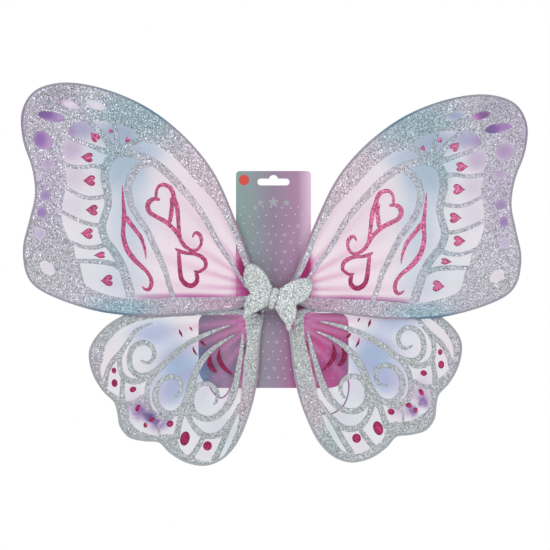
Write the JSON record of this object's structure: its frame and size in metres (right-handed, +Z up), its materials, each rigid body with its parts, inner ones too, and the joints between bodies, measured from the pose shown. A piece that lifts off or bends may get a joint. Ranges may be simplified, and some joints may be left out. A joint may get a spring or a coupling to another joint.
{
  "type": "costume fairy wings",
  "caption": "Child's butterfly-shaped fairy wings: wire-framed printed mesh wings with glitter, a foam butterfly over the hub and elastic arm loops, on a hang card.",
  "frame": {"origin": "centre of the rear face of the felt pad, which lies against the wearer's back", "axes": "+X to the viewer's right across the wings, +Z up, +Y out of the pad's rear face towards the wearer, so the decorated side faces -Y"},
  "size_m": [0.5056, 0.0262, 0.3823],
  "materials": {
    "frame_wire": "satin, steel wire in a thin grey coat",
    "wire_wrap": "satin, hem of the mesh rolled round the wire",
    "wing_mesh_upper": "sheer printed nylon mesh, white to pink, blue and lilac",
    "wing_mesh_lower": "sheer printed nylon mesh, white to blue and magenta",
    "silver_glitter": "coarse silver glitter, bonded",
    "pink_glitter": "raspberry glitter, bonded",
    "butterfly_foam": "coarse silver glitter on soft foam",
    "steel": "plain steel",
    "hub_plastic": "grey moulded plastic",
    "felt": "mauve felt",
    "foam_mount": "white adhesive foam",
    "elastic": "pale pink round elastic, braided cover",
    "thread": "pale pink thread",
    "card": "matt coated card printed in a green to purple blend"
  },
  "bodies": {
    "hub": {"centre_block": "hub_plastic", "left_sleeve": "steel", "right_sleeve": "steel", "back_pad": "felt", "left_strap_crimps": "steel", "right_strap_crimps": "steel", "left_strap": "elastic", "right_strap": "elastic", "butterfly_mount": "foam_mount", "butterfly_body": "butterfly_foam", "hang_card": "card"},
    "left_lower_wing": {"lower_left_wire": "frame_wire", "lower_left_mesh": "wing_mesh_lower", "lower_left_tie": "thread"},
    "left_upper_wing": {"upper_left_wire": "frame_wire", "upper_left_mesh": "wing_mesh_upper", "upper_left_tie": "thread"},
    "right_lower_wing": {"lower_right_wire": "frame_wire", "lower_right_mesh": "wing_mesh_lower", "lower_right_tie": "thread"},
    "right_upper_wing": {"upper_right_wire": "frame_wire", "upper_right_mesh": "wing_mesh_upper", "upper_right_tie": "thread"},
    "butterfly_left": {"butterfly_left_wing": "butterfly_foam"},
    "butterfly_right": {"butterfly_right_wing": "butterfly_foam"}
  },
  "joints": [
    {"name": "left_fold", "type": "hinge", "parent": "hub", "child": "left_lower_wing", "pos_m": [-0.012, -0.0056, -0.003], "axis": [0, 0, 1], "range_deg": [0, 55]},
    {"name": "left_spread", "type": "hinge", "parent": "left_lower_wing", "child": "left_upper_wing", "pos_m": [-0.012, -0.0056, -0.003], "axis": [0, 0, 1], "range_deg": [0, 12]},
    {"name": "left_flap", "type": "hinge", "parent": "hub", "child": "butterfly_left", "pos_m": [-0.00554, -0.0181, 0.00372], "axis": [0.2588, 0, 0.9659], "range_deg": [0, 70]},
    {"name": "right_fold", "type": "hinge", "parent": "hub", "child": "right_lower_wing", "pos_m": [0.012, -0.0056, -0.003], "axis": [0, 0, -1], "range_deg": [0, 55]},
    {"name": "right_spread", "type": "hinge", "parent": "right_lower_wing", "child": "right_upper_wing", "pos_m": [0.012, -0.0056, -0.003], "axis": [0, 0, -1], "range_deg": [0, 12]},
    {"name": "right_flap", "type": "hinge", "parent": "hub", "child": "butterfly_right", "pos_m": [0.00354, -0.0181, 0.00128], "axis": [-0.2588, 0, -0.9659], "range_deg": [0, 70]}
  ],
  "couplings": [
    {"joint": "left_flap", "follows": "left_fold", "ratio": 1.25},
    {"joint": "right_flap", "follows": "right_fold", "ratio": 1.25}
  ]
}
